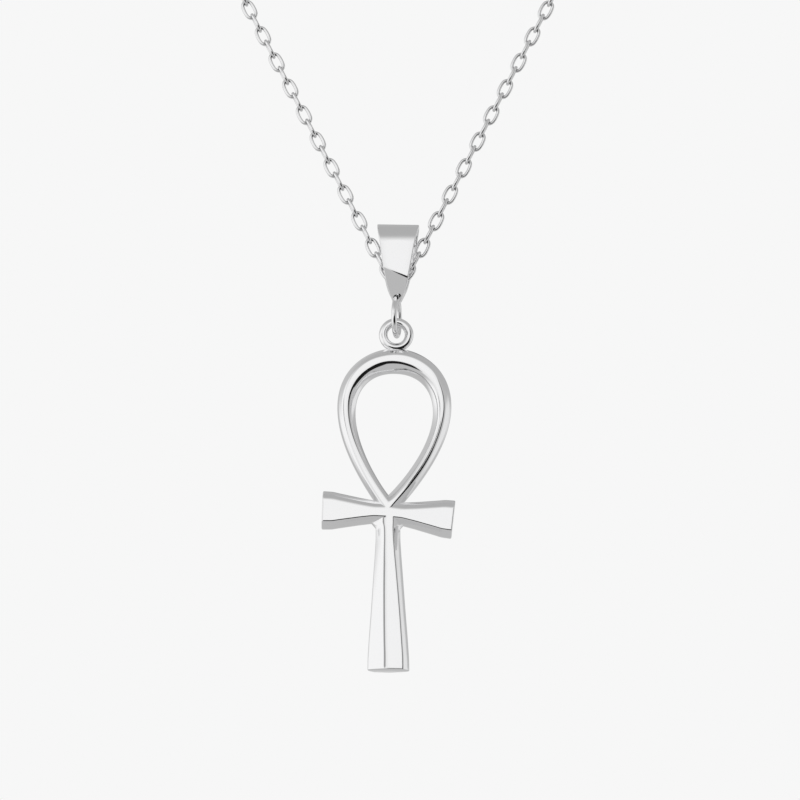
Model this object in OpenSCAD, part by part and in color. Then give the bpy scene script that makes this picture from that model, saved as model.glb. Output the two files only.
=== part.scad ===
// Ankh pendant on a cable chain, in polished silver. Millimetres.
// +Z is up, +X is to the right as seen from the front, and the front faces -Y.
// The origin is the middle of the clasp, at the nape of the neck.
// The ankh hangs from a round ring, the ring from a folded bail, and the bail on the chain.

/* [Ankh] */
// Thickness of the ankh, front to back
ankh_t = 2.25; // [1.8:0.05:3]
// Height of the flat edge where the front and back bevels meet
edge_t = 0.5; // [0.2:0.02:0.8]
// Outer width of the loop
loop_w = 10.75; // [9:0.05:13]
// Height of the loop's crown above the crossing
loop_h = 15.7; // [13:0.1:19]
// Width of the loop's band at its widest place
limb_w = 1.76; // [1.4:0.02:2.2]
// Thickness of the band at the crown
crown_t = 2.38; // [1.8:0.02:2.7]
// Height of the point at the bottom of the loop's hole, above the crossing
loop_tip = 1.65; // [1.2:0.05:2.4]
// Depth of the band's outer point below the crossing
loop_heel = 0.8; // [0.4:0.1:1.2]
// Fullness of the hole's outline, 1 for a plain drop and less for a fuller one
hole_fullness = 0.92; // [0.85:0.01:1.1]
// Fullness of the band's outer outline, in the same way
outer_fullness = 1.06; // [0.95:0.01:1.1]
// Sideways lean of the loop from its point to its crown
loop_lean = 0.35; // [0:0.05:0.6]
// Sideways shift of the crossing from the line through the eye
crossing_x = -0.35; // [-0.6:0.05:0]

/* [Arms] */
// Length of each arm from the middle of the crossing
arm_l = 6.15; // [5:0.05:8]
// Height of an arm at its root
arm_root_h = 2.16; // [1.9:0.02:2.6]
// Height of an arm at its end
arm_end_h = 3.62; // [3:0.02:4.6]
// Width of the bevels on the arms
arm_bevel = 0.56; // [0.4:0.02:0.8]
// Angle that the left arm rises above level
left_arm_rise = 0.6; // [0:0.1:5]
// Angle that the right arm drops below level
right_arm_drop = 5; // [0:0.1:6]

/* [Shaft] */
// Length of the shaft from the middle of the crossing
shaft_l = 14.95; // [12:0.05:19]
// Width of the shaft at its root
shaft_root_w = 2.3; // [2:0.02:2.8]
// Width of the shaft at its foot
foot_w = 3.88; // [3:0.02:5]
// Width of the shaft's front facet at its root
shaft_facet_w = 0.98; // [0.6:0.02:1.4]
// Width of the shaft's front facet at its foot
foot_facet_w = 1.6; // [1:0.02:2]
// Sideways shift of the front facet at the foot
foot_skew = 0.58; // [0:0.02:0.7]
// Sideways shift of the foot from the line through the eye
foot_x = 0.06; // [-0.3:0.02:0.3]
// Size of the small mitres where the shaft meets the arms
mitre = 0.4; // [0.2:0.05:0.6]

/* [Eye] */
// Diameter of the hole in the eye on top of the loop
eye_hole_d = 1.62; // [1.5:0.02:2]
// Diameter of the eye's wire
eye_wire_d = 0.82; // [0.7:0.02:0.9]
// Depth that the eye is sunk into the crown
eye_sink = 0.28; // [0.15:0.01:0.35]

/* [Connector ring] */
// Middle diameter of the ring
ring_d = 3.54; // [3.3:0.02:4.2]
// Diameter of the ring's wire
ring_wire_d = 0.5; // [0.4:0.02:0.56]
// Turn of the ring about the upright, away from edge on
ring_turn = 8; // [0:1:20]
// Slack between the ring's wire and the eye's wire
ring_slack = 0.62; // [0.1:0.02:0.64]

/* [Bail] */
// Height of the bail
bail_h = 7.61; // [7:0.01:9]
// Width of the bail across its fold
bail_w = 3.82; // [3.2:0.02:4.6]
// Width of the bail at the crease in its legs
bail_waist_w = 2.26; // [2:0.02:2.6]
// Width of the bail half way from the crease to its tips
bail_belly_w = 1.82; // [1.6:0.02:2.2]
// Width of the bail's round tips
bail_tip_w = 0.98; // [0.94:0.01:1.3]
// Thickness of the bail over both legs
bail_t = 3.5; // [3.3:0.02:4.2]
// Thickness of the bail's strip
strip_t = 0.42; // [0.3:0.01:0.48]
// Distance of the crease from the top of the bail
crease_drop = 5; // [4:0.05:5.4]
// Slope of the crease across the bail
crease_slope = 21; // [0:1:25]
// Gap between the two tips
tip_gap = 0.12; // [0.06:0.01:0.2]
// Clearance of the ring's wire in the tips
tip_clearance = 0.09; // [0.07:0.01:0.1]
// Turn of the bail about the upright
bail_turn = 2; // [0:1:8]
// Lean of the hanging pieces from plumb
hang_lean = 1.4; // [0:0.1:3]

/* [Chain] */
// Diameter of the chain, which is the width of its links
chain_d = 1.3; // [0.9:0.05:1.4]
// Distance of the chain's middle from the top of the bail
chain_drop = 4.84; // [4.5:0.02:4.9]
// Gap between the chain's ends and what they hold
end_gap = 0.15; // [0.1:0.01:0.3]

/* [Clasp] */
// Middle diameter of the spring ring
clasp_d = 4.4; // [4:0.1:5]
// Diameter of the spring ring's tube
clasp_wire_d = 1; // [0.8:0.05:1.2]
// Middle diameter of the small eye on the spring ring
clasp_eye_d = 1.5; // [1.3:0.05:1.8]
// Diameter of the wire of that eye
clasp_eye_wire_d = 0.5; // [0.4:0.02:0.6]
// Middle diameter of the end ring
end_ring_d = 2.5; // [2.3:0.05:3]
// Diameter of the end ring's wire
end_ring_wire_d = 0.5; // [0.4:0.02:0.6]
// Clearance between the end ring and the spring ring
clasp_clearance = 0.12; // [0.1:0.01:0.2]

/* [Hidden] */
round_fn = 64;
slack = 0.01;
far = 20;

// Route of the chain: half of it, from its lowest point inside the bail round the right side to the nape.
// The other half mirrors it. x, y and z in millimetres.
HALF_ROUTE = [
    [0, -110, -110.1], [0.9, -110, -109.75], [1.7, -110, -108.65], [2.53, -110, -107],
    [7.6, -110, -97], [15.2, -110, -82], [20.3, -110, -72], [27, -108.5, -60],
    [34.5, -104.5, -49], [42, -97.5, -39.5], [49, -87.5, -31], [54.5, -75, -24],
    [57.5, -61, -18], [57.5, -46.5, -12.5], [54, -33, -8], [47, -20.5, -4.5],
    [37, -10.5, -2], [25, -4, -0.5], [12, -0.8, 0], [5, 0, 0]
];
CHAIN_SIDES = 8;
RINGS_PER_POINT = 2;

// Sections of an arm, from the crossing to its end.
// along: share of the arm's length, flare: share of the way from root height to end height
ARM_ROWS = [
    [0, 0], [0.18, 0], [0.38, 0.2], [0.58, 0.49], [0.75, 0.75], [0.88, 0.94], [0.96, 0.99], [1, 0.9]
];
// Sections of the shaft, from its foot up to the crossing, with columns
// along: share of the length down from the crossing, flare: share from root to foot width,
// facet: the same for the front facet, skew: share of the facet's shift, mitred: share of the mitre's size
SHAFT_ROWS = [
    [1, 1, 1, 1, 0], [0.95, 0.99, 0.98, 1, 0], [0.84, 0.88, 0.92, 0.88, 0], [0.61, 0.56, 0.72, 0.6, 0],
    [0.38, 0.26, 0.42, 0.28, 0], [0.26, 0.1, 0.22, 0.12, 0], [0.15, 0, 0, 0.05, 0],
    [0.105, 0, 0, 0.02, 0], [0.075, 0, 0, 0, 1], [0, 0, 0, 0, 0]
];

// Places of the loop's front and back facets across its band, with columns
// turn: angle from the point up the left side, over the crown and down the right side,
// inner and outer: shares of the band's width from the hole to where the facet begins and ends
LOOP_ROWS = [
    [0, 0.2, 0.7], [60, 0.19, 0.78], [96, 0.28, 0.7], [122, 0.33, 0.67], [150, 0.31, 0.66], [172, 0.32, 0.65],
    [197, 0.25, 0.69], [214, 0.24, 0.72], [234, 0.27, 0.62], [262, 0.33, 0.58], [300, 0.35, 0.61],
    [330, 0.34, 0.56], [360, 0.2, 0.7]
];
INNERS = [for (row = LOOP_ROWS) [row[0], row[1]]];
OUTERS = [for (row = LOOP_ROWS) [row[0], row[2]]];
// Sections on each half of the loop, closer together near its point
LOOP_STEPS = 40;
LOOP_BIAS = 0.75;
// Largest value of sin(t) * sin(t / 2), at the widest place of a drop
DROP_PEAK = 4 / (3 * sqrt(3));
// Share of the loop's height over which its axis leans
LEAN_SPAN = 0.7;

function mix(a, b, share) = a + (b - a) * share;

// What hangs: heights below the chain's middle inside the bail
bail_top = chain_drop;
tip_z = bail_top - bail_h + bail_tip_w / 2;
crease_z = bail_top - crease_drop;
ring_z = tip_z - ring_d / 2;
ring_low_z = tip_z - ring_d;
eye_d = eye_hole_d + eye_wire_d;
eye_top_z = ring_low_z + ring_wire_d / 2 + ring_slack + eye_wire_d / 2;
eye_z = eye_top_z - eye_d / 2;
crown_z = eye_z - eye_d / 2 - eye_wire_d / 2 + eye_sink;
crossing_z = crown_z - loop_h;

// Lean of the bail's lower legs that brings their inner faces together at the tips
leg_drop = crease_z - tip_z;
leg_in = bail_t / 2 - strip_t - tip_gap / 2;
leg_angle = atan(leg_in / leg_drop);
bore_r = ring_wire_d / 2 + tip_clearance;

// Places of the clasp's pieces along the nape
clasp_eye_x = clasp_d / 2 + clasp_wire_d / 2 + clasp_eye_d / 2;
end_ring_x = -clasp_d / 2 + clasp_wire_d / 2 + clasp_clearance + end_ring_wire_d / 2 - end_ring_d / 2;
right_end_x = clasp_eye_x + clasp_eye_d / 2 + clasp_eye_wire_d / 2 + end_gap;
left_end_x = end_ring_x - end_ring_d / 2 - end_ring_wire_d / 2 - end_gap;

// Faces of a closed skin over rings of points, all with the same number of points.
// Each ring runs anticlockwise as seen from the rings that follow it.
function skin_faces(rings, points, joined) = concat(
    [for (i = [0 : rings - (joined ? 1 : 2)], j = [0 : points - 1])
        let (a = i * points, b = (i + 1) % rings * points, k = (j + 1) % points)
        each [[a + j, b + k, a + k], [a + j, b + j, b + k]]],
    joined ? [] : [[for (j = [0 : points - 1]) j], [for (j = [points - 1 : -1 : 0]) (rings - 1) * points + j]]
);

module skin(rings, joined = false) {
    polyhedron([for (ring = rings) each ring], skin_faces(len(rings), len(rings[0]), joined), convexity = 6);
}

// Eight corners of a bevelled bar's section, as [across, depth] pairs
function bar_section(half, facet_half, skew) = [
    [-half, edge_t / 2], [-half, -edge_t / 2],
    [-facet_half + skew, -ankh_t / 2], [facet_half + skew, -ankh_t / 2],
    [half, -edge_t / 2], [half, edge_t / 2],
    [facet_half - skew, ankh_t / 2], [-facet_half - skew, ankh_t / 2]
];

// A drop's outline at angle t, from 0 at its point to 180 at its crown
function drop_point(t, half_w, point_z, top_z, fullness) = [
    half_w / DROP_PEAK * pow(sin(t), fullness) * sin(t / 2),
    mix(point_z, top_z, (1 - cos(t)) / 2)
];

function lean_at(t) =
    let (climb = min(1, (1 - cos(t)) / 2 / LEAN_SPAN))
    loop_lean * (1 - pow(1 - climb, 2));

// Section of the loop's band at angle t on one side, 1 for the right and -1 for the left
function band_section(t, side) =
    let (
        hole = drop_point(t, loop_w / 2 - limb_w, loop_tip, loop_h - crown_t, hole_fullness),
        outer = drop_point(t, loop_w / 2, -loop_heel, loop_h, outer_fullness),
        turn = side < 0 ? t : 360 - t,
        inner = lookup(turn, INNERS),
        end = lookup(turn, OUTERS),
        rows = [
            [0, edge_t / 2], [0, -edge_t / 2], [inner, -ankh_t / 2], [end, -ankh_t / 2],
            [1, -edge_t / 2], [1, edge_t / 2], [end, ankh_t / 2], [inner, ankh_t / 2]
        ]
    )
    [for (row = rows) let (at = mix(hole, outer, row[0])) [side * at[0] + lean_at(t), row[1], at[1]]];

function loop_angle(step) = 180 * pow(step / LOOP_STEPS, LOOP_BIAS);

module loop() {
    right = [for (k = [0 : LOOP_STEPS]) band_section(loop_angle(k), 1)];
    left = [for (k = [LOOP_STEPS - 1 : -1 : 1]) band_section(loop_angle(k), -1)];
    skin(concat(right, left), joined = true);
}

// An arm that runs to +X from the crossing
module arm() {
    skin([for (row = ARM_ROWS)
        let (half = mix(arm_root_h, arm_end_h, row[1]) / 2)
        [for (p = bar_section(half, half - arm_bevel, 0)) [row[0] * arm_l, p[1], -p[0]]]
    ]);
}

module shaft() {
    skin([for (row = SHAFT_ROWS)
        let (
            half = mix(shaft_root_w, foot_w, row[1]) / 2 + mitre * row[4],
            facet_half = mix(shaft_facet_w, foot_facet_w, row[2]) / 2,
            drift = (foot_x - crossing_x) * row[0]
        )
        [for (p = bar_section(half, facet_half, foot_skew * row[3])) [p[0] + drift, p[1], -row[0] * shaft_l]]
    ]);
}

// A round wire ring with its axis along Z
module wire_ring(middle_d, wire_d) {
    rotate_extrude($fn = round_fn)
        translate([middle_d / 2, 0])
            circle(d = wire_d, $fn = round_fn / 2);
}

// Hangs its children at the chain's lowest point, inside the bail
module hung() {
    translate(HALF_ROUTE[0])
        rotate([0, hang_lean, 0])
            children();
}

module ankh() {
    color([0.83, 0.83, 0.84])
        hung() {
            translate([0, 0, eye_z])
                rotate([90, 0, 0])
                    wire_ring(eye_d, eye_wire_d);
            translate([crossing_x, 0, crossing_z]) {
                loop();
                rotate([0, right_arm_drop, 0])
                    arm();
                mirror([1, 0, 0])
                    rotate([0, -left_arm_rise, 0])
                        arm();
                shaft();
            }
        }
}

module connector_ring() {
    color([0.86, 0.86, 0.87])
        hung()
            translate([0, 0, ring_z])
                rotate([0, 0, -ring_turn])
                    rotate([0, 90, 0])
                        wire_ring(ring_d, ring_wire_d);
}

// Side view of the folded strip before its legs lean in, wide by t and closed by the fold on top
module fold_profile(t, top) {
    translate([0, top - t / 2])
        circle(d = t, $fn = round_fn);
    translate([-t / 2, tip_z - far])
        square([t, top - t / 2 - tip_z + far]);
}

// The solid bounded by the strip's outer face, or by its inner face where inset is the strip's thickness
module folded_space(inset) {
    intersection() {
        rotate([90, 0, 90])
            linear_extrude(height = bail_w + 2 * inset + slack, center = true)
                fold_profile(bail_t - 2 * inset, bail_top - inset);
        intersection_for (side = [0, 1])
            mirror([0, side, 0])
                translate([0, -bail_t / 2, crease_z])
                    rotate([leg_angle, side == 0 ? crease_slope : 0, 0])
                        translate([-far, inset, -far])
                            cube([2 * far, 2 * far, 2 * far]);
    }
}

// Front outline of the bail: a taper from the fold to the waist, and on over a belly to the round tips that it
// meets smoothly
module bail_outline() {
    belly = [bail_belly_w / 2, leg_drop / 2];
    touch = atan2(belly[1], belly[0]) - acos(bail_tip_w / 2 / norm(belly));
    side = [
        [bail_tip_w / 2 * cos(touch), tip_z + bail_tip_w / 2 * sin(touch)], [belly[0], tip_z + belly[1]],
        [bail_waist_w / 2, crease_z], [bail_w / 2, bail_top + slack]
    ];
    translate([0, tip_z])
        circle(d = bail_tip_w, $fn = round_fn);
    polygon(concat(side, [for (i = [3 : -1 : 0]) [-side[i][0], side[i][1]]]));
}

module bail() {
    color([0.82, 0.82, 0.83])
        hung()
            rotate([0, 0, -bail_turn])
                difference() {
                    intersection() {
                        folded_space(0);
                        rotate([90, 0, 0])
                            linear_extrude(height = 2 * bail_t, center = true)
                                bail_outline();
                    }
                    folded_space(strip_t);
                    translate([-far / 2, -tip_gap / 2, tip_z - bail_tip_w])
                        cube([far, tip_gap, leg_drop]);
                    translate([0, 0, tip_z])
                        rotate([90, 0, bail_turn - ring_turn])
                            cylinder(h = 2 * bail_t, r = bore_r, center = true, $fn = round_fn);
                }
}

// Direction of the route at point i, from the chords on both sides
function heading(path, i) =
    let (
        last = len(path) - 1,
        back = i == 0 ? path[1] - path[0] : path[i] - path[i - 1],
        ahead = i == last ? path[last] - path[last - 1] : path[i + 1] - path[i]
    )
    (back / norm(back) * norm(ahead) + ahead / norm(ahead) * norm(back)) / (norm(back) + norm(ahead));

// A smooth curve through the points of a path, with a few rings on each stretch
function smooth(path, steps) = [
    for (i = [0 : len(path) - 2], s = [0 : steps - 1])
        let (
            u = s / steps,
            reach = norm(path[i + 1] - path[i]),
            from_start = heading(path, i) * reach,
            to_end = heading(path, i + 1) * reach
        )
        path[i] * (2 * u ^ 3 - 3 * u ^ 2 + 1) + from_start * (u ^ 3 - 2 * u ^ 2 + u)
        + path[i + 1] * (3 * u ^ 2 - 2 * u ^ 3) + to_end * (u ^ 3 - u ^ 2),
    path[len(path) - 1]
];

function unit(v) = v / norm(v);

// A ring of points square to the route at point i, kept upright by the direction to the left
function tube_ring(path, i, r) =
    let (
        ahead = unit(heading(path, i)),
        side = unit(cross([0, 0.6, 0.8], ahead)),
        up = cross(ahead, side)
    )
    [for (j = [0 : CHAIN_SIDES - 1])
        let (a = 360 * j / CHAIN_SIDES)
        path[i] + r * (cos(a) * side + sin(a) * up)];

module chain() {
    points = len(HALF_ROUTE);
    left = [for (i = [points - 2 : -1 : 1]) [-HALF_ROUTE[i][0], HALF_ROUTE[i][1], HALF_ROUTE[i][2]]];
    right = [for (i = [0 : points - 2]) HALF_ROUTE[i]];
    path = smooth(concat([[left_end_x, 0, 0]], left, right, [[right_end_x, 0, 0]]), RINGS_PER_POINT);
    color([0.78, 0.78, 0.79])
        skin([for (i = [0 : len(path) - 1]) tube_ring(path, i, chain_d / 2)]);
}

module clasp() {
    color([0.8, 0.8, 0.81])
        rotate([90, 0, 0]) {
            wire_ring(clasp_d, clasp_wire_d);
            translate([clasp_eye_x, 0, 0])
                wire_ring(clasp_eye_d, clasp_eye_wire_d);
        }
}

module end_ring() {
    color([0.8, 0.8, 0.81])
        translate([end_ring_x, 0, 0])
            wire_ring(end_ring_d, end_ring_wire_d);
}

ankh();
connector_ring();
bail();
chain();
end_ring();
clasp();
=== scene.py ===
"""Looks of an ankh pendant on a cable chain, in polished silver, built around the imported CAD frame.

Lengths in the tables and formulas are millimetres, as in the CAD source; meshes are made in metres.
+Z is up, +X is to the right as seen from the front, and the front faces -Y.
"""

import math

import bmesh
import bpy
import numpy as np
from mathutils import Matrix, Vector


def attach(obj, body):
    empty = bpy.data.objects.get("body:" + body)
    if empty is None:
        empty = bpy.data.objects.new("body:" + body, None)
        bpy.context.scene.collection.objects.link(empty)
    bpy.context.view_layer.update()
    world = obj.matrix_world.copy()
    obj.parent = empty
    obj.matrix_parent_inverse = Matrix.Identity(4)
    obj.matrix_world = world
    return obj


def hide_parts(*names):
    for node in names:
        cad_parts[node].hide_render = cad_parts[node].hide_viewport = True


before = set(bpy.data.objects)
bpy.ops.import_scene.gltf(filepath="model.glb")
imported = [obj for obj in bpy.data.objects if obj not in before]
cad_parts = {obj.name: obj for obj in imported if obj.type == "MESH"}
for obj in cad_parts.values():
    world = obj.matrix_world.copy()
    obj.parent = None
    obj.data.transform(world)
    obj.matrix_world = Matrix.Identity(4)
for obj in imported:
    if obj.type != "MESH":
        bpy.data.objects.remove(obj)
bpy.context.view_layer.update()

MM = 0.001
# Edges sharper than this, in degrees, stay sharp to the eye, on the pieces and on the chain's small links
SHARP, LINK_SHARP = 35, 60

# Sizes, as in the CAD source. Four are the scene's own, fitted closer to the photo: LOOP_ROWS,
# ARM_ROOT_BEVEL, CREASE_DROP and CREASE_SLOPE. So are the sizes above the functions further down.

ANKH_T, EDGE_T = 2.25, 0.5
LOOP_W, LOOP_H, LIMB_W, CROWN_T = 10.75, 15.7, 1.76, 2.38
LOOP_TIP, LOOP_HEEL = 1.65, 0.8
HOLE_FULLNESS, OUTER_FULLNESS = 0.92, 1.06
LOOP_LEAN, LEAN_SPAN = 0.35, 0.7
CROSSING_X = -0.35
# The loop's front facet: angle from the loop's point up the left side, over the crown and down the right
# side, and the shares of the band's width, from the hole outward, at which the facet begins and ends
LOOP_ROWS = [
    (0, 0.2, 0.7), (60, 0.19, 0.78), (96, 0.28, 0.72), (122, 0.31, 0.74), (150, 0.29, 0.75),
    (172, 0.32, 0.72), (197, 0.25, 0.74), (214, 0.24, 0.74), (234, 0.27, 0.64), (262, 0.33, 0.64),
    (300, 0.35, 0.71), (330, 0.34, 0.68), (360, 0.2, 0.74),
]
# Largest value of the drop's formula, by which the drop is scaled to its width
DROP_PEAK = 4 / (3 * math.sqrt(3))

ARM_L, ARM_ROOT_H, ARM_END_H, ARM_ROOT_BEVEL, ARM_BEVEL = 6.15, 2.16, 3.62, 0.46, 0.56
LEFT_ARM_RISE, RIGHT_ARM_DROP = 0.6, 5
# Shares of an arm's length, and of what its height gains by there
ARM_FLARE = [(0, 0), (0.18, 0), (0.38, 0.2), (0.58, 0.49), (0.75, 0.75), (0.88, 0.94), (1, 0.98)]

SHAFT_L, SHAFT_ROOT_W, FOOT_W, FOOT_X = 14.95, 2.3, 3.88, 0.06
SHAFT_FACET_W, FOOT_FACET_W, FOOT_SKEW, MITRE = 0.98, 1.6, 0.58, 0.4
# Shares of the shaft's length from the crossing down, and of what its width, its facet's width and the
# facet's skew gain by there
SHAFT_ROWS = [
    (0, 0, 0, 0), (0.105, 0, 0, 0.02), (0.15, 0, 0, 0.05), (0.26, 0.1, 0.22, 0.12), (0.38, 0.26, 0.42, 0.28),
    (0.61, 0.56, 0.72, 0.6), (0.84, 0.88, 0.92, 0.88), (0.95, 0.99, 0.98, 1), (1, 1, 1, 1),
]
# Shares of the shaft's length where the widening under the arms ends and is greatest
MITRE_END, MITRE_TOP = 0.105, 0.075

EYE_HOLE_D, EYE_WIRE_D, EYE_SINK = 1.62, 0.82, 0.28
RING_D, RING_WIRE_D, RING_TURN, RING_SLACK = 3.54, 0.5, 8, 0.62
BAIL_H, BAIL_W, BAIL_WAIST_W, BAIL_BELLY_W, BAIL_TIP_W, BAIL_T = 7.61, 3.82, 2.26, 1.82, 0.98, 3.5
STRIP_T, CREASE_DROP, CREASE_SLOPE = 0.42, 4.95, 22.6
TIP_GAP, BAIL_TURN, HANG_LEAN = 0.12, 2, 1.4
CHAIN_DROP = 4.84
CLASP_D, CLASP_WIRE_D, CLASP_EYE_D, CLASP_EYE_WIRE_D = 4.4, 1.0, 1.5, 0.5
END_RING_D, END_RING_WIRE_D, CLASP_CLEARANCE = 2.5, 0.5, 0.12

# The chain's middle line on its right half, by a few chosen points, from inside the bail up to the nape
HALF_ROUTE = [
    (0, -110, -110.1), (0.9, -110, -109.75), (1.7, -110, -108.65), (2.53, -110, -107),
    (7.6, -110, -97), (15.2, -110, -82), (20.3, -110, -72), (27, -108.5, -60),
    (34.5, -104.5, -49), (42, -97.5, -39.5), (49, -87.5, -31), (54.5, -75, -24),
    (57.5, -61, -18), (57.5, -46.5, -12.5), (54, -33, -8), (47, -20.5, -4.5),
    (37, -10.5, -2), (25, -4, -0.5), (12, -0.8, 0), (5, 0, 0),
]

BAIL_TOP = CHAIN_DROP
TIP_Z = BAIL_TOP - BAIL_H + BAIL_TIP_W / 2
CREASE_Z = BAIL_TOP - CREASE_DROP
RING_Z = TIP_Z - RING_D / 2
EYE_D = EYE_HOLE_D + EYE_WIRE_D
EYE_TOP_Z = TIP_Z - RING_D + RING_WIRE_D / 2 + RING_SLACK + EYE_WIRE_D / 2
EYE_Z = EYE_TOP_Z - EYE_D / 2
CROWN_Z = EYE_Z - EYE_D / 2 - EYE_WIRE_D / 2 + EYE_SINK
CROSSING_Z = CROWN_Z - LOOP_H
LEG_DROP = CREASE_Z - TIP_Z
LEG_ANGLE = math.degrees(math.atan((BAIL_T / 2 - STRIP_T - TIP_GAP / 2) / LEG_DROP))
CLASP_EYE_X = CLASP_D / 2 + CLASP_WIRE_D / 2 + CLASP_EYE_D / 2
END_RING_X = -CLASP_D / 2 + CLASP_WIRE_D / 2 + CLASP_CLEARANCE + END_RING_WIRE_D / 2 - END_RING_D / 2


# Maths

def turn(degrees, axis):
    """The matrix of a turn about an axis."""
    return np.array(Matrix.Rotation(math.radians(degrees), 3, axis))


def unit(v):
    """Vectors scaled to a length of one."""
    return v / np.linalg.norm(v, axis=-1, keepdims=True)


def hung(points):
    """Points of a hanging piece, from the chain's lowest point inside the bail into the shared frame."""
    return points @ turn(HANG_LEAN, "Y").T + np.array(HALF_ROUTE[0])


def eased(table, at):
    """Columns of a table, interpolated smoothly and without overshoot at the given values of the first."""
    rows = np.array(table, float)
    x, y = rows[:, 0], rows[:, 1:]
    step, rise = np.diff(x)[:, None], np.diff(y, axis=0)
    slope = rise / step
    before, after = slope[:-1], slope[1:]
    same = before * after > 0
    inner = np.where(same, 2 * before * after / np.where(same, before + after, 1), 0)
    m = np.vstack([slope[:1], inner, slope[-1:]])
    at = np.asarray(at, float)
    i = np.clip(np.searchsorted(x, at, side="right") - 1, 0, len(x) - 2)
    h = (x[i + 1] - x[i])[:, None]
    u = ((at - x[i]) / (x[i + 1] - x[i]))[:, None]
    return (y[i] * (2 * u**3 - 3 * u**2 + 1) + y[i + 1] * (3 * u**2 - 2 * u**3)
            + h * (m[i] * (u**3 - 2 * u**2 + u) + m[i + 1] * (u**3 - u**2)))


# Largest share of a side that an arc takes, and places along a side where its swell is set out
ARC_SHARE, SWELL_AT = 0.46, (0.2, 0.4, 0.6, 0.8)


def filleted(ring, radii, steps, crown=None):
    """A closed ring of corners with each one turned into an arc, which is cut short on a small side.
    crown gives each side, from its corner to the next, a slight outward swell."""
    ring = np.asarray(ring, float)
    count, centre = len(ring), np.mean(ring, axis=0)
    arcs = []
    for i in range(count):
        a, b, c = ring[i - 1], ring[i], ring[(i + 1) % count]
        to_a, to_c = a - b, c - b
        la, lc = np.linalg.norm(to_a), np.linalg.norm(to_c)
        to_a, to_c = to_a / la, to_c / lc
        half = math.acos(np.clip(to_a @ to_c, -1, 1)) / 2
        reach = min(radii[i] / math.tan(half), ARC_SHARE * la, ARC_SHARE * lc)
        radius = reach * math.tan(half)
        middle = b + unit(to_a + to_c) * radius / math.sin(half)
        start, end = b + to_a * reach - middle, b + to_c * reach - middle
        sweep = math.pi - 2 * half
        arc = []
        for k in range(steps + 1):
            s = k / steps
            mixed = start * math.sin((1 - s) * sweep) + end * math.sin(s * sweep)
            arc.append(middle + mixed / math.sin(sweep))
        arcs.append(arc)
    out = []
    for i in range(count):
        out += arcs[i]
        if crown is not None:
            a, b = arcs[i][-1], arcs[(i + 1) % count][0]
            along = unit(b - a)
            away = (a + b) / 2 - centre
            away = unit(away - along * (away @ along))
            out += [a + (b - a) * s + away * crown[i] * 4 * s * (1 - s) for s in SWELL_AT]
    return np.array(out)


def inset(ring, by):
    """A convex ring of 2-D corners, moved in by a distance."""
    count = len(ring)
    centre = ring.mean(0)
    out = []
    for i in range(count):
        a, b, c = ring[i - 1], ring[i], ring[(i + 1) % count]
        to_a, to_c = unit(a - b), unit(c - b)
        half = math.acos(np.clip(to_a @ to_c, -1, 1)) / 2
        move = unit(to_a + to_c) * by / math.sin(half)
        out.append(b + (move if move @ (centre - b) > 0 else -move))
    return np.array(out)


# Meshes

def mesh_object(name, points, faces, sharp=SHARP):
    """An object from points in millimetres, smooth except along edges sharper than the angle."""
    mesh = bpy.data.meshes.new(name)
    mesh.from_pydata([tuple(p) for p in np.asarray(points) * MM], [], faces)
    mesh.validate()
    obj = bpy.data.objects.new(name, mesh)
    bpy.context.scene.collection.objects.link(obj)
    smooth(obj, sharp)
    return obj


def smooth(obj, sharp):
    """Shades the object smooth except along edges sharper than the angle."""
    mesh = obj.data
    mesh.polygons.foreach_set("use_smooth", [True] * len(mesh.polygons))
    mesh.set_sharp_from_angle(angle=math.radians(sharp))
    mesh.update()


def loft(rings, joined=False):
    """Points and faces of a closed skin over rings with the same number of points."""
    count, size = len(rings), len(rings[0])
    faces = []
    for i in range(count if joined else count - 1):
        a, b = i * size, (i + 1) % count * size
        for j in range(size):
            k = (j + 1) % size
            faces.append((a + j, a + k, b + k, b + j))
    if not joined:
        faces.append(tuple(range(size - 1, -1, -1)))
        faces.append(tuple((count - 1) * size + j for j in range(size)))
    return np.concatenate(rings), faces


def torus(middle_d, wire_d, around=96, sides=24):
    """Points and faces of a ring of round wire about Z."""
    rings = []
    for i in range(around):
        a = 2 * math.pi * i / around
        b = np.arange(sides) * 2 * math.pi / sides
        r = middle_d / 2 + wire_d / 2 * np.cos(b)
        rings.append(np.stack([r * math.cos(a), r * math.sin(a), wire_d / 2 * np.sin(b)], 1))
    return loft(rings, joined=True)


def ellipsoid(a, b, c, around=48):
    """Points and faces of an ellipsoid with half axes a, b and c."""
    turns = np.linspace(0, 2 * math.pi, around, endpoint=False)
    rings = []
    for k in range(1, around // 2):
        t = 2 * math.pi * k / around
        s = math.sin(t)
        along = np.full(around, -a * math.cos(t))
        rings.append(np.stack([along, b * s * np.cos(turns), c * s * np.sin(turns)], 1))
    return loft(rings)


def outward(obj):
    """Turns the faces outward, as the booleans need."""
    work = bmesh.new()
    work.from_mesh(obj.data)
    bmesh.ops.recalc_face_normals(work, faces=work.faces)
    work.to_mesh(obj.data)
    work.free()
    return obj


def applied(obj):
    """The object with its modifiers made part of its mesh."""
    graph = bpy.context.evaluated_depsgraph_get()
    mesh = bpy.data.meshes.new_from_object(obj.evaluated_get(graph))
    old = obj.data
    obj.modifiers.clear()
    obj.data = mesh
    bpy.data.meshes.remove(old)
    return obj


def combined(base, others, operation):
    """The base with the others joined to it or cut from it, shaded afresh."""
    for other in others:
        cut = base.modifiers.new("cut", "BOOLEAN")
        cut.object = other
        cut.operation = operation
        cut.solver = "MANIFOLD"
    applied(base)
    for other in others:
        bpy.data.objects.remove(other)
    smooth(base, SHARP)
    return base


# Ankh

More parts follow.
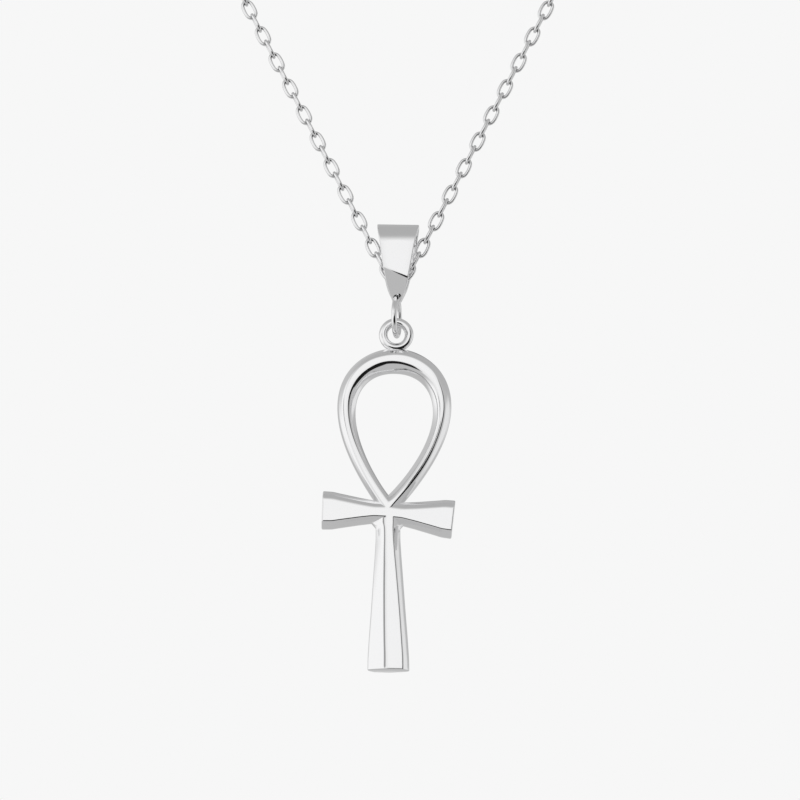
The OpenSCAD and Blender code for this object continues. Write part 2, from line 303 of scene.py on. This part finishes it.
# Edge radii of the sections, two corners each: the rim at the hole, left or top, then the front, the rim
# outside, right or below, and the back
LOOP_R = [0.35, 0.35, 0.75, 0.46, 0.4, 0.4, 0.3, 0.3]
ARM_R = [0.35, 0.35, 0.8, 0.24, 0.3, 0.3, 0.3, 0.3]
SHAFT_R = [0.38, 0.38, 1.3, 0.25, 0.4, 0.4, 0.3, 0.3]
# Swell of each side of the sections, from hand polishing
CROWN = [0, 0.015, 0.006, 0.04, 0, 0.04, 0.006, 0.02]
CORNER_STEPS = 7
# Rounding of the arms' and the shaft's ends, its steps, and the least edge radius that is left there
ARM_END_R, FOOT_END_R, END_STEPS, LEAST_R = 0.12, 0.1, 5, 0.02
# Sections round half of the loop, and how their spacing shrinks towards the crown
LOOP_STEPS, LOOP_BIAS = 110, 0.75
# Sections along an arm, in the mitre and along the shaft, which are evenly spaced from a share of its length
ARM_STEPS, MITRE_STEPS, SHAFT_STEPS, EVEN_FROM = 40, 3, 60, 0.12
# Half axes of the solder under the eye, and how far its middle lies below the crown
SOLDER, SOLDER_SINK = (0.95, 0.5, 0.3), 0.3


def section_corners(half, facet_half, skew):
    """Eight corners of a bevelled bar's section, across and depth."""
    e, t = EDGE_T / 2, ANKH_T / 2
    return np.array([
        (-half, e), (-half, -e), (-facet_half + skew, -t), (facet_half + skew, -t),
        (half, -e), (half, e), (facet_half - skew, t), (-facet_half - skew, t),
    ])


def drop_point(t, half_w, point_z, top_z, fullness):
    """A place on the right half of a drop, across and up, from its point at t = 0 to its top at pi."""
    s = math.sin(t)
    return np.array([half_w / DROP_PEAK * max(s, 0) ** fullness * math.sin(t / 2),
                     point_z + (top_z - point_z) * (1 - math.cos(t)) / 2])


def lean_at(t):
    """How far the loop's section at angle t stands to the right, as the loop leans."""
    climb = min(1, (1 - math.cos(t)) / 2 / LEAN_SPAN)
    return LOOP_LEAN * (1 - (1 - climb) ** 2)


def band_section(t, side):
    """Section of the loop's band at angle t, from 0 at its point to pi at its crown."""
    hole = drop_point(t, LOOP_W / 2 - LIMB_W, LOOP_TIP, LOOP_H - CROWN_T, HOLE_FULLNESS)
    outer = drop_point(t, LOOP_W / 2, -LOOP_HEEL, LOOP_H, OUTER_FULLNESS)
    e, d = EDGE_T / 2, ANKH_T / 2
    inner, end = eased(LOOP_ROWS, [math.degrees(t) if side < 0 else 360 - math.degrees(t)])[0]
    rows = [(0, e), (0, -e), (inner, -d), (end, -d), (1, -e), (1, e), (end, d), (inner, d)]
    corners = []
    for share, y in rows:
        at = hole + (outer - hole) * share
        corners.append((side * at[0] + lean_at(t), y, at[1]))
    return filleted(corners, LOOP_R, CORNER_STEPS, CROWN)


def make_loop():
    """The drop-shaped loop, as a closed ring of sections."""
    angles = [math.pi * (k / LOOP_STEPS) ** LOOP_BIAS for k in range(LOOP_STEPS + 1)]
    rings = [band_section(t, 1) for t in angles] + [band_section(t, -1) for t in angles[-2:0:-1]]
    return loft(rings, joined=True)


def bar(rows, radii, end_r):
    """Rings of a bevelled bar along its first axis. Its rows are (along, half width, facet half width, skew,
    drift), and its far end is rounded over by end_r."""
    def ring_at(along, corners, corner_radii, drift):
        ring = filleted(corners, corner_radii, CORNER_STEPS, CROWN)
        return np.column_stack([np.full(len(ring), along), ring[:, 0] + drift, ring[:, 1]])

    rings = [ring_at(along, section_corners(half, facet_half, skew), radii, drift)
             for along, half, facet_half, skew, drift in rows]
    along, half, facet_half, skew, drift = rows[-1]
    flat = section_corners(half, facet_half, skew)
    for k in range(1, END_STEPS + 1):
        a = math.pi / 2 * k / END_STEPS
        by = end_r * (1 - math.cos(a))
        smaller = [max(r - by, LEAST_R) for r in radii]
        rings.append(ring_at(along + end_r * math.sin(a), inset(flat, by), smaller, drift))
    return rings


def make_arm():
    """The right arm, from the crossing outward."""
    shares = np.linspace(0, 1, ARM_STEPS)
    flare = eased(ARM_FLARE, shares)[:, 0]
    rows = []
    for share, f in zip(shares, flare):
        half = (ARM_ROOT_H + (ARM_END_H - ARM_ROOT_H) * f) / 2
        bevel = ARM_ROOT_BEVEL + (ARM_BEVEL - ARM_ROOT_BEVEL) * share
        rows.append((share * (ARM_L - ARM_END_R), half, half - bevel, 0, 0))
    rings = [r[:, [0, 2, 1]] * (1, 1, -1) for r in bar(rows, ARM_R, ARM_END_R)]
    return loft(rings)


def make_shaft():
    """The shaft, from the crossing down to the foot."""
    mitre_shares = np.linspace(MITRE_TOP, MITRE_END, MITRE_STEPS)
    shares = np.concatenate([[0], mitre_shares, np.linspace(EVEN_FROM, 1, SHAFT_STEPS)])
    table = eased(SHAFT_ROWS, shares)
    rows = []
    for share, (flare, facet, skew) in zip(shares, table):
        mitred = np.interp(share, [0, MITRE_TOP, MITRE_END], [0, 1, 0])
        half = (SHAFT_ROOT_W + (FOOT_W - SHAFT_ROOT_W) * flare) / 2 + MITRE * mitred
        facet_half = (SHAFT_FACET_W + (FOOT_FACET_W - SHAFT_FACET_W) * facet) / 2
        drift = (FOOT_X - CROSSING_X) * share
        rows.append((share * (SHAFT_L - FOOT_END_R), half, facet_half, FOOT_SKEW * skew, drift))
    rings = [np.column_stack([r[:, 1], r[:, 2], -r[:, 0]]) for r in bar(rows, SHAFT_R, FOOT_END_R)]
    return loft(rings)


def make_ankh():
    """Loop, arms, shaft, eye and solder, joined to one piece."""
    crossing = np.array([CROSSING_X, 0, CROSSING_Z])
    points, faces = make_loop()
    base = outward(mesh_object("ankh_pendant", hung(points + crossing), faces))
    others = []
    arm, arm_faces = make_arm()
    for name, spin, flip in (("right", RIGHT_ARM_DROP, 1), ("left", -LEFT_ARM_RISE, -1)):
        placed = (arm @ turn(spin, "Y").T) * (flip, 1, 1) + crossing
        others.append(outward(mesh_object(name, hung(placed), arm_faces)))
    points, faces = make_shaft()
    others.append(outward(mesh_object("shaft", hung(points + crossing), faces)))
    points, faces = torus(EYE_D, EYE_WIRE_D)
    others.append(outward(mesh_object("eye", hung(points @ turn(90, "X").T + (0, 0, EYE_Z)), faces)))
    points, faces = ellipsoid(*SOLDER)
    others.append(outward(mesh_object("solder", hung(points + (0, 0, CROWN_Z - SOLDER_SINK)), faces)))
    return combined(base, others, "UNION")


# Bail and rings

def make_connector():
    """The ring through the bail's tips and the ankh's eye."""
    points, faces = torus(RING_D, RING_WIRE_D, around=128)
    points = points @ turn(90, "Y").T @ turn(-RING_TURN, "Z").T + (0, 0, RING_Z)
    return outward(mesh_object("connector", hung(points), faces))


# Rounding of the strip's long edges, its steps, and the largest share of the strip's half width that it takes
EDGE_R, EDGE_STEPS, EDGE_SHARE = 0.09, 4, 0.9
# Height of the fold's curve, how far it rises above the CAD's, and how much fuller the left side is, which
# grows from the tip to the crease
FOLD_H, FOLD_RISE, LEFT_FULLER = 2.1, 0.08, 0.13
# Reach of the strip's bend on each side of the crease, and of the stretch there that has no other sections
CREASE_R, CREASE_SPAN = 0.14, 0.35
# Angles at which the sections of a round tip begin and end, and numbers of sections
TIP_FROM, TIP_TO = -88, -30
TIP_STEPS, LEG_STEPS, BEND_STEPS, FOLD_STEPS = 12, 14, 13, 61
# Rounds in which the ends of a slanted row settle on the outline
SETTLE_ROUNDS = 4
# The tips' bore follows the ring's curve downward, so that little shows above the ring
BORE_GAP, BORE_SINK, BORE_SIDES = 0.06, 0.05, 48


def bail_half_width(z):
    """Half of the bail's front outline at height z."""
    belly = np.array([BAIL_BELLY_W / 2, LEG_DROP / 2])
    tip_r = BAIL_TIP_W / 2
    touch = math.atan2(belly[1], belly[0]) - math.acos(tip_r / np.linalg.norm(belly))
    touch_z = TIP_Z + tip_r * math.sin(touch)
    if z < touch_z:
        return math.sqrt(max(tip_r**2 - (z - TIP_Z) ** 2, 0))
    sides = [(touch_z, tip_r * math.cos(touch)), (TIP_Z + belly[1], belly[0]), (CREASE_Z, BAIL_WAIST_W / 2),
             ((CREASE_Z + BAIL_TOP) / 2, (BAIL_WAIST_W + BAIL_W) / 4), (BAIL_TOP, BAIL_W / 2)]
    return eased(sides, [min(z, BAIL_TOP)])[0, 0]


def make_bail():
    """A folded strip, as a loft of rounded sections from the front tip over the fold to the back tip."""
    r_out, tip_r = BAIL_T / 2, BAIL_TIP_W / 2
    fold_z = BAIL_TOP + FOLD_RISE - FOLD_H
    above = CREASE_Z + CREASE_SPAN

    def section(half_left, half_right, z):
        """The strip's rounded section, across and in from its outer face, a little fuller on the left."""
        half_left += LEFT_FULLER * np.clip((z - TIP_Z) / (CREASE_Z - TIP_Z), 0, 1)
        corners = [(-half_left, 0), (half_right, 0), (half_right, STRIP_T), (-half_left, STRIP_T)]
        return filleted(corners, [min(EDGE_R, EDGE_SHARE * half_left)] * len(corners), EDGE_STEPS)

    def leg_rows(slope):
        """Heights on the strip's middle line, and slopes of the rows across it, from a tip to the fold."""
        low = TIP_Z + tip_r * math.sin(math.radians(TIP_TO))
        shares = np.linspace(0, 1, LEG_STEPS)
        round_tip = np.radians(np.linspace(TIP_FROM, TIP_TO, TIP_STEPS))
        rows = [(TIP_Z + tip_r * math.sin(a), 0) for a in round_tip]
        rows += [(low + (CREASE_Z - CREASE_SPAN - low) * k, slope * k) for k in shares[1:-1]]
        rows += [(CREASE_Z + d, slope) for d in np.linspace(-CREASE_R, CREASE_R, BEND_STEPS)]
        return rows + [(above + (fold_z - above) * k, slope * (1 - k)) for k in shares[1:]]

    def leg(degrees):
        """Sections of one leg, upright above its crease, leaning in below it, with a small bend between."""
        slope = math.tan(math.radians(degrees))
        lean = math.tan(math.radians(LEG_ANGLE)) * math.cos(math.radians(degrees))
        out = []
        for row_z, row_slope in leg_rows(slope):
            left = right = bail_half_width(row_z)
            for _ in range(SETTLE_ROUNDS if row_slope else 0):
                left = bail_half_width(row_z + row_slope * left)
                right = bail_half_width(row_z - row_slope * right)
            ring = []
            for x, depth in section(left, right, row_z):
                z = row_z - row_slope * x
                below = CREASE_Z - slope * x - z
                bent = np.clip((below + CREASE_R) / (2 * CREASE_R), 0, 1)
                y = lean * (below if below > CREASE_R else CREASE_R * bent**2) - r_out
                normal = unit(np.array([-slope * lean * bent, -1, -lean * bent]))
                ring.append(np.array([x, y, z]) - normal * depth)
            out.append(np.array(ring))
        return out

    fold = []
    for a in np.linspace(0, 180, FOLD_STEPS)[1:-1]:
        c, s = math.cos(math.radians(a)), math.sin(math.radians(a))
        outer = np.array([0, -r_out * c, fold_z + FOLD_H * s])
        normal = unit(np.array([0, -c * FOLD_H, s * r_out]))
        half = bail_half_width(outer[2])
        shape = section(half, half, outer[2])
        fold.append(np.array([outer + (x, 0, 0) - normal * depth for x, depth in shape]))
    back = [ring * (1, -1, 1) for ring in leg(0)]
    points, faces = loft(leg(CREASE_SLOPE) + fold + back[::-1])
    strip = outward(mesh_object("bail_strip", hung(points @ turn(-BAIL_TURN, "Z").T), faces))

    turns = np.linspace(0, 2 * math.pi, BORE_SIDES, endpoint=False)
    bore_r = RING_WIRE_D / 2 + BORE_GAP
    circle = np.stack([bore_r * np.cos(turns), np.zeros(BORE_SIDES), bore_r * np.sin(turns)], 1)
    pin, pin_faces = loft([circle + (0, y, 0) for y in (-BAIL_T, BAIL_T)])
    pin = pin @ turn(-RING_TURN, "Z").T + (0, 0, TIP_Z - BORE_SINK)
    return combined(strip, [outward(mesh_object("pin", hung(pin), pin_faces))], "DIFFERENCE")


def make_clasp():
    """The spring ring at the nape, with its soldered eye."""
    ring, faces = torus(CLASP_D, CLASP_WIRE_D, sides=32)
    base = outward(mesh_object("clasp_ring", ring @ turn(90, "X").T, faces))
    eye, faces = torus(CLASP_EYE_D, CLASP_EYE_WIRE_D, around=64)
    other = outward(mesh_object("eye", eye @ turn(90, "X").T + (CLASP_EYE_X, 0, 0), faces))
    return combined(base, [other], "UNION")


def make_end_ring():
    """The ring on the chain's left end."""
    points, faces = torus(END_RING_D, END_RING_WIRE_D, around=80)
    return outward(mesh_object("end_loop", points + (END_RING_X, 0, 0), faces))


# Chain

# A link's length, width and wire. It is as wide as the CAD's tube
LINK_L, LINK_W, LINK_WIRE = 2.114, 1.3, 0.32
PITCH = 1.456
# Shape of a link: share of a plain oval in it, and how fast its straight flanks run out towards its ends
OVAL_SHARE, FLANK_RATE = 0.45, 2.2
# Painted shade where neighbouring links touch: cosine on the link where it begins, span over which it
# darkens, and reach round the wire
SHADE_FROM, SHADE_SPAN, SHADE_REACH = 0.55, 0.35, 0.3
# Clearance between an end link and the ring that it hangs in
RUB_GAP = 0.04
# Lengths along the chain from the bail, and back from the nape, between which the links slowly turn into line
TURN_FROM, TURN_END = 45, 15
# Steps on each stretch of the route, and the point where the straight stretch beside the bail begins
ROUTE_STEPS, BESIDE_BAIL = 40, 3
# The straight stretches beside the bail meet at a point under it, from which the links there are counted
ALONG = unit(np.subtract(HALF_ROUTE[BESIDE_BAIL + 1], HALF_ROUTE[BESIDE_BAIL]))
APEX = np.array(HALF_ROUTE[BESIDE_BAIL]) - ALONG * HALF_ROUTE[BESIDE_BAIL][0] / ALONG[0]
# Distance from that point to the first link outside the bail, which is edge on
FIRST_EDGE_ON = 3.68
# The three links inside the bail, from the same point: how far to the side, how high and how many degrees
# from upright the outer two are, and how high the level one between them is
INSIDE_X, INSIDE_UP, INSIDE_LEAN, LEVEL_UP = 0.91, 2.18, 35, 1.92


def smooth_route(points, steps=ROUTE_STEPS):
    """The CAD tube's own curve through its points, with many steps on each stretch."""
    p = np.array(points, float)
    chord = np.diff(p, axis=0)
    reach = np.linalg.norm(chord, axis=1)
    u = chord / reach[:, None]
    heads = [u[0]]
    for i in range(1, len(p) - 1):
        heads.append((u[i - 1] * reach[i] + u[i] * reach[i - 1]) / (reach[i - 1] + reach[i]))
    heads.append(u[-1])
    out = []
    for i in range(len(p) - 1):
        for s in range(steps):
            t = s / steps
            out.append(p[i] * (2 * t**3 - 3 * t**2 + 1) + heads[i] * reach[i] * (t**3 - 2 * t**2 + t)
                       + p[i + 1] * (3 * t**2 - 2 * t**3) + heads[i + 1] * reach[i] * (t**3 - t**2))
    out.append(p[-1])
    return np.array(out)


def framed(route):
    """Length along the route, its heading, and a direction square to it that starts towards the front and
    doesn't twist."""
    heading = unit(np.gradient(route, axis=0))
    length = np.concatenate([[0], np.cumsum(np.linalg.norm(np.diff(route, axis=0), axis=1))])
    normal = [np.array([0.0, -1, 0])]
    for i in range(1, len(route)):
        n = normal[-1] - heading[i] * (normal[-1] @ heading[i])
        normal.append(unit(n))
    return length, heading, np.array(normal)


def link_points():
    """A link about the origin: long along X, wide along Y. The last value says how much shade is painted at
    each point, on the spots inside both ends where the neighbours touch."""
    around, sides = 32, 8
    up = np.array([0, 0, 1.0])
    a, b = (LINK_L - LINK_WIRE) / 2, (LINK_W - LINK_WIRE) / 2
    line, contact_shade = [], []
    for i in range(around):
        t = 2 * math.pi * i / around
        c, s = math.cos(t), math.sin(t)
        flank = (a - b) * np.sign(c) * min(1, abs(c) * FLANK_RATE) + b * c
        line.append((a * c * OVAL_SHARE + flank * (1 - OVAL_SHARE), b * s, 0))
        contact_shade.append(np.clip((abs(c) - SHADE_FROM) / SHADE_SPAN, 0, 1))
    line = np.array(line)
    ahead = unit(np.roll(line, -1, 0) - np.roll(line, 1, 0))
    out = np.cross(ahead, up)
    turns = np.arange(sides) * 2 * math.pi / sides
    # The painted shade reaches round the wire's inner side only
    inside = np.clip(SHADE_REACH - np.cos(turns), 0, 1)
    wire = [line[i] + LINK_WIRE / 2 * (np.cos(turns)[:, None] * out[i] + np.sin(turns)[:, None] * up)
            for i in range(around)]
    points, faces = loft(wire, joined=True)
    return points, faces, np.outer(contact_shade, inside).ravel()


def arm_links(sign, end_x, end_up):
    """Places of the links on one side, from the first edge-on link beside the bail to the nape.
    Each is (centre, direction, normal of its flat side). The last one's centre is at end_x, and end_up says
    that its normal points up."""
    points = [(sign * x, y, z) for x, y, z in HALF_ROUTE[:-1]]
    route = smooth_route(points + [(end_x, 0, 0)])
    length, heading, normal = framed(route)
    last = length[-1]
    beside = length[BESIDE_BAIL * ROUTE_STEPS]
    first = beside - np.linalg.norm(np.array(HALF_ROUTE[BESIDE_BAIL]) - APEX) + FIRST_EDGE_ON
    count = round((last - first) / PITCH)
    pitch = (last - first) / count
    final = normal[-1]
    if count % 2 == 0:  # the last link lies as the first does, a quarter turn from face on
        final = np.cross(heading[-1], final)
    want = np.array([0, 0, 1.0]) if end_up else np.array([0, 1.0, 0])
    swing = math.atan2(want @ np.cross(heading[-1], final), want @ final)
    swing = (swing + math.pi / 2) % math.pi - math.pi / 2

    def at(s, values):
        return np.array([np.interp(s, length, values[:, i]) for i in range(3)])

    out = []
    for k, s in enumerate(first + pitch * np.arange(count + 1)):
        centre, t, n = at(s, route), unit(at(s, heading)), at(s, normal)
        if k == 0:
            t = ALONG * (sign, 1, 1)
            centre = APEX + t * FIRST_EDGE_ON
        n = unit(n - t * (n @ t))
        b = np.cross(t, n)
        turned = swing * np.clip((s - TURN_FROM) / (last - TURN_FROM - TURN_END), 0, 1)
        if k % 2 == 0:
            turned += math.pi / 2
        out.append((centre, t, n * math.cos(turned) + b * math.sin(turned)))
    return out


def make_chain():
    """The chain's two halves, which meet in the level link inside the bail, each with painted shade at the
    links' contact spots as a value.
    """
    reach = (LINK_L - LINK_WIRE) / 2 - RUB_GAP
    right_tail = CLASP_EYE_X + (CLASP_EYE_D - CLASP_EYE_WIRE_D - LINK_WIRE) / 2 + reach
    left_tail = END_RING_X - (END_RING_D - END_RING_WIRE_D - LINK_WIRE) / 2 - reach
    right = arm_links(1, right_tail, True)
    left = arm_links(-1, left_tail, False)
    lean = math.radians(INSIDE_LEAN)
    inside = []
    for side in (-1, 1):
        upward = np.array([side * math.sin(lean), 0, math.cos(lean)])
        inside.append((APEX + (side * INSIDE_X, 0, INSIDE_UP), upward, np.array([0, -1.0, 0])))
    level = (APEX + (0, 0, LEVEL_UP), np.array([1.0, 0, 0]), np.array([0, 0, 1.0]))
    link, link_faces, contact_shade = link_points()
    count = len(link)
    halves = {"chain_left": left[::-1] + [inside[0], level], "chain_right": [inside[1]] + right}
    objects = []
    for name, places in halves.items():
        points, faces = [], []
        for i, (centre, t, n) in enumerate(places):
            basis = np.stack([t, np.cross(n, t), n])
            points.append(link @ basis + centre)
            faces += [tuple(v + i * count for v in face) for face in link_faces]
        half = outward(mesh_object(name, np.concatenate(points), faces, LINK_SHARP))
        # Painted shade inside each link's ends, kept as a value on the mesh
        painted_shade = half.data.attributes.new("painted_shade", "FLOAT", "POINT")
        painted_shade.data.foreach_set("value", np.tile(contact_shade, len(places)))
        objects.append(half)
    return objects


# Materials

# Colour of the painted shade inside the links' ends, where neighbours touch
CONTACT_SHADE_TINT = (0.08, 0.08, 0.085)
# Slow unevenness: noise scale, share of the tint where it is darkest, and height in metres
UNEVEN_SCALE, UNEVEN_SHADE, UNEVEN_HEIGHT = 350, 0.985, 0.00002
# Fine scratches: noise scales along the axes, turn of the axes in radians, strength, and height in metres
SCRATCH_SCALES, SCRATCH_TURN = (9000, 9000, 700), (0.3, 0.4, 0.2)
SCRATCH_STRENGTH, SCRATCH_HEIGHT = 0.03, 0.000004
# Range of the scratches' noise, and the shares of a metal's roughness that go with its ends
NOISE_RANGE, ROUGH_SHARES = (0.35, 0.75), (0.8, 1.5)
FLOOR_TINT, FLOOR_ROUGH = (0.9, 0.9, 0.9), 0.8


def silver(name, tint, rough, wave):
    """Polished silver: a mirror with a faint grain of fine scratches and a slow unevenness from hand
    polishing. It is darkened by painted shade where the mesh carries a shade value."""
    mat = bpy.data.materials.new(name)
    mat.use_nodes = True
    nodes, links = mat.node_tree.nodes, mat.node_tree.links
    shader = nodes["Principled BSDF"]
    shader.inputs["Metallic"].default_value = 1
    coords = nodes.new("ShaderNodeTexCoord")

    slow = nodes.new("ShaderNodeTexNoise")
    slow.inputs["Scale"].default_value = UNEVEN_SCALE
    slow.inputs["Detail"].default_value = 2
    links.new(coords.outputs["Object"], slow.inputs["Vector"])
    tone = nodes.new("ShaderNodeMix")
    tone.data_type = "RGBA"
    tone.inputs["A"].default_value = (*[c * UNEVEN_SHADE for c in tint], 1)
    tone.inputs["B"].default_value = (*tint, 1)
    links.new(slow.outputs["Fac"], tone.inputs["Factor"])
    # Painted shade: the tint darkens towards the shade colour by the mesh's value
    shade_spots = nodes.new("ShaderNodeAttribute")
    shade_spots.attribute_name = "painted_shade"
    shaded_tone = nodes.new("ShaderNodeMix")
    shaded_tone.data_type = "RGBA"
    shaded_tone.inputs["B"].default_value = (*CONTACT_SHADE_TINT, 1)
    links.new(shade_spots.outputs["Fac"], shaded_tone.inputs["Factor"])
    links.new(tone.outputs["Result"], shaded_tone.inputs["A"])
    links.new(shaded_tone.outputs["Result"], shader.inputs["Base Color"])

    stretch = nodes.new("ShaderNodeMapping")
    stretch.inputs["Scale"].default_value = SCRATCH_SCALES
    stretch.inputs["Rotation"].default_value = SCRATCH_TURN
    links.new(coords.outputs["Object"], stretch.inputs["Vector"])
    grain = nodes.new("ShaderNodeTexNoise")
    grain.inputs["Scale"].default_value = 1
    grain.inputs["Detail"].default_value = 3
    links.new(stretch.outputs["Vector"], grain.inputs["Vector"])
    gloss = nodes.new("ShaderNodeMapRange")
    gloss.inputs["From Min"].default_value = NOISE_RANGE[0]
    gloss.inputs["From Max"].default_value = NOISE_RANGE[1]
    gloss.inputs["To Min"].default_value = rough * ROUGH_SHARES[0]
    gloss.inputs["To Max"].default_value = rough * ROUGH_SHARES[1]
    links.new(grain.outputs["Fac"], gloss.inputs["Value"])
    links.new(gloss.outputs["Result"], shader.inputs["Roughness"])

    soft = nodes.new("ShaderNodeBump")
    soft.inputs["Strength"].default_value = wave
    soft.inputs["Distance"].default_value = UNEVEN_HEIGHT
    links.new(slow.outputs["Fac"], soft.inputs["Height"])
    fine = nodes.new("ShaderNodeBump")
    fine.inputs["Strength"].default_value = SCRATCH_STRENGTH
    fine.inputs["Distance"].default_value = SCRATCH_HEIGHT
    links.new(grain.outputs["Fac"], fine.inputs["Height"])
    links.new(soft.outputs["Normal"], fine.inputs["Normal"])
    links.new(fine.outputs["Normal"], shader.inputs["Normal"])
    return mat


def plain(name, colour, rough):
    """A matt material of one colour."""
    mat = bpy.data.materials.new(name)
    mat.use_nodes = True
    shader = mat.node_tree.nodes["Principled BSDF"]
    shader.inputs["Base Color"].default_value = (*colour, 1)
    shader.inputs["Roughness"].default_value = rough
    return mat


# Studio

BACKGROUND = 0.93
# Parts of the studio that the metal mirrors, painted over each other on a grey sphere:
# azimuth from the front to the right, elevation, angle where a part is whole, angle where it ends, brightness
STUDIO_BASE = 0.5
STUDIO = [
    (180, 22, 20, 38, 0.64),
    (166, 73, 28, 44, 0.34),
    (156, 44, 5, 11, 0.1),
    (151, 29, 9, 18, 0.34),
    (118, 53, 25, 36, 0.46),
    (118, -26, 10, 22, 0.64),
    (106, -2, 13, 25, 0.8),
    (-80, 16, 30, 58, 0.96),
    (-120, 52, 18, 52, 0.55),
    (2, -1, 24, 50, 0.87),
    (0, 78, 14, 62, 0.44),
    (40, 12, 12, 17, 0.17),
    (33, -3, 12, 17, 0.02),
    (4, -24, 18, 22, 0.01),
    (28, -16, 17, 21, 0.01),
    (46, -24, 14, 18, 0.01),
    (30, -36, 14, 18, 0.01),
    (-14, -27, 8, 15, 0.01),
    (-39, 9, 2, 10, 0.3),
    (-4, 12, 7, 12, 0.93),
]

# Half of the floor's side and its height, in metres
FLOOR_HALF, FLOOR_Z = 3.0, -0.75
# Lights, which the metal doesn't mirror: power, size, place and aim of the softbox, and strength and width in
# radians of the overhead light, in Blender's units
SOFTBOX_POWER, SOFTBOX_SIZE, SOFTBOX_PLACE, SOFTBOX_AIM = 22, 1.6, (-0.5, -0.7, 0.9), (0, -0.1, -0.1)
OVERHEAD_STRENGTH, OVERHEAD_WIDTH = 1.55, 0.6
# Camera: distance, degrees below the pendant, width of the picture at the pendant and the place in its middle
CAMERA_FAR, CAMERA_BELOW, PICTURE_W, PICTURE_MIDDLE = 450, 12, 75.2, (0.2162, -110, -122.129)
SENSOR_W, CLIP = 36, (0.01, 20)


def direction(azimuth, elevation):
    """The direction of a part of the studio, as seen from the pendant."""
    a, e = math.radians(azimuth), math.radians(elevation)
    return (math.sin(a) * math.cos(e), -math.cos(a) * math.cos(e), math.sin(e))


def make_world():
    """The studio that the metal mirrors. The camera sees an even background in its place."""
    world = bpy.data.worlds.new("studio")
    world.use_nodes = True
    bpy.context.scene.world = world
    nodes, links = world.node_tree.nodes, world.node_tree.links
    coords = nodes.new("ShaderNodeTexCoord")
    value = None
    for azimuth, elevation, whole, gone, level in STUDIO:
        dot = nodes.new("ShaderNodeVectorMath")
        dot.operation = "DOT_PRODUCT"
        dot.inputs[1].default_value = direction(azimuth, elevation)
        links.new(coords.outputs["Generated"], dot.inputs[0])
        share = nodes.new("ShaderNodeMapRange")
        share.interpolation_type = "SMOOTHSTEP"
        share.inputs["From Min"].default_value = math.cos(math.radians(gone))
        share.inputs["From Max"].default_value = math.cos(math.radians(whole))
        links.new(dot.outputs["Value"], share.inputs["Value"])
        paint = nodes.new("ShaderNodeMix")
        paint.data_type = "FLOAT"
        if value is None:
            paint.inputs["A"].default_value = STUDIO_BASE
        else:
            links.new(value, paint.inputs["A"])
        paint.inputs["B"].default_value = level
        links.new(share.outputs["Result"], paint.inputs["Factor"])
        value = paint.outputs["Result"]
    rays = nodes.new("ShaderNodeLightPath")
    seen = nodes.new("ShaderNodeMix")
    seen.data_type = "FLOAT"
    links.new(rays.outputs["Is Camera Ray"], seen.inputs["Factor"])
    links.new(value, seen.inputs["A"])
    seen.inputs["B"].default_value = BACKGROUND
    back = nodes["Background"]
    links.new(seen.outputs["Result"], back.inputs["Strength"])
    back.inputs["Color"].default_value = (1, 1, 1, 1)


def make_floor():
    """The pale floor, far below the pendant."""
    mesh = bpy.data.meshes.new("floor")
    corners = [(x * FLOOR_HALF, y * FLOOR_HALF, FLOOR_Z) for x, y in ((-1, -1), (1, -1), (1, 1), (-1, 1))]
    mesh.from_pydata(corners, [], [(0, 1, 2, 3)])
    floor = bpy.data.objects.new("floor", mesh)
    bpy.context.scene.collection.objects.link(floor)
    floor.data.materials.append(plain("pale_floor", FLOOR_TINT, FLOOR_ROUGH))
    floor.visible_glossy = False


def make_light(name, kind, energy):
    """A light that the metal doesn't mirror."""
    data = bpy.data.lights.new(name, kind)
    data.energy = energy
    light = bpy.data.objects.new(name, data)
    light.visible_glossy = False
    bpy.context.scene.collection.objects.link(light)
    return light


def make_lights():
    softbox = make_light("softbox", "AREA", SOFTBOX_POWER)
    softbox.data.size = SOFTBOX_SIZE
    softbox.location = SOFTBOX_PLACE
    softbox.rotation_euler = (Vector(SOFTBOX_AIM) - softbox.location).to_track_quat("-Z", "Y").to_euler()
    overhead = make_light("overhead", "SUN", OVERHEAD_STRENGTH)
    overhead.data.angle = OVERHEAD_WIDTH


def make_camera():
    """The photo's camera, which looks up at the pendant."""
    data = bpy.data.cameras.new("camera")
    data.sensor_width = SENSOR_W
    data.lens = SENSOR_W * CAMERA_FAR / PICTURE_W
    data.clip_start, data.clip_end = CLIP
    camera = bpy.data.objects.new("camera", data)
    below = math.radians(CAMERA_BELOW)
    back = Vector((0, -math.cos(below), -math.sin(below))) * CAMERA_FAR
    camera.location = (Vector(PICTURE_MIDDLE) + back) * MM
    camera.rotation_euler = (math.pi / 2 + below, 0, 0)
    bpy.context.scene.collection.objects.link(camera)
    bpy.context.scene.camera = camera


# Assembly

def place(obj, node, body, material):
    """Gives a piece its material, ties it to its body and hides the CAD node that it replaces."""
    obj.data.materials.clear()
    obj.data.materials.append(material)
    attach(obj, body)
    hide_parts(node)


make_camera()
make_world()
make_floor()
make_lights()
bpy.context.scene.view_settings.view_transform = "Standard"

polished = silver("polished_silver", tint=(0.95, 0.95, 0.955), rough=0.07, wave=0.25)
wire_silver = silver("wire_silver", tint=(0.94, 0.94, 0.945), rough=0.05, wave=0.15)

place(make_ankh(), "ankh", "ankh", polished)
place(make_connector(), "connector_ring", "connector", wire_silver)
place(make_bail(), "bail", "bail", polished)
for half in make_chain():
    place(half, "chain", "necklace", wire_silver)
place(make_end_ring(), "end_ring", "necklace", wire_silver)
place(make_clasp(), "clasp", "necklace", wire_silver)
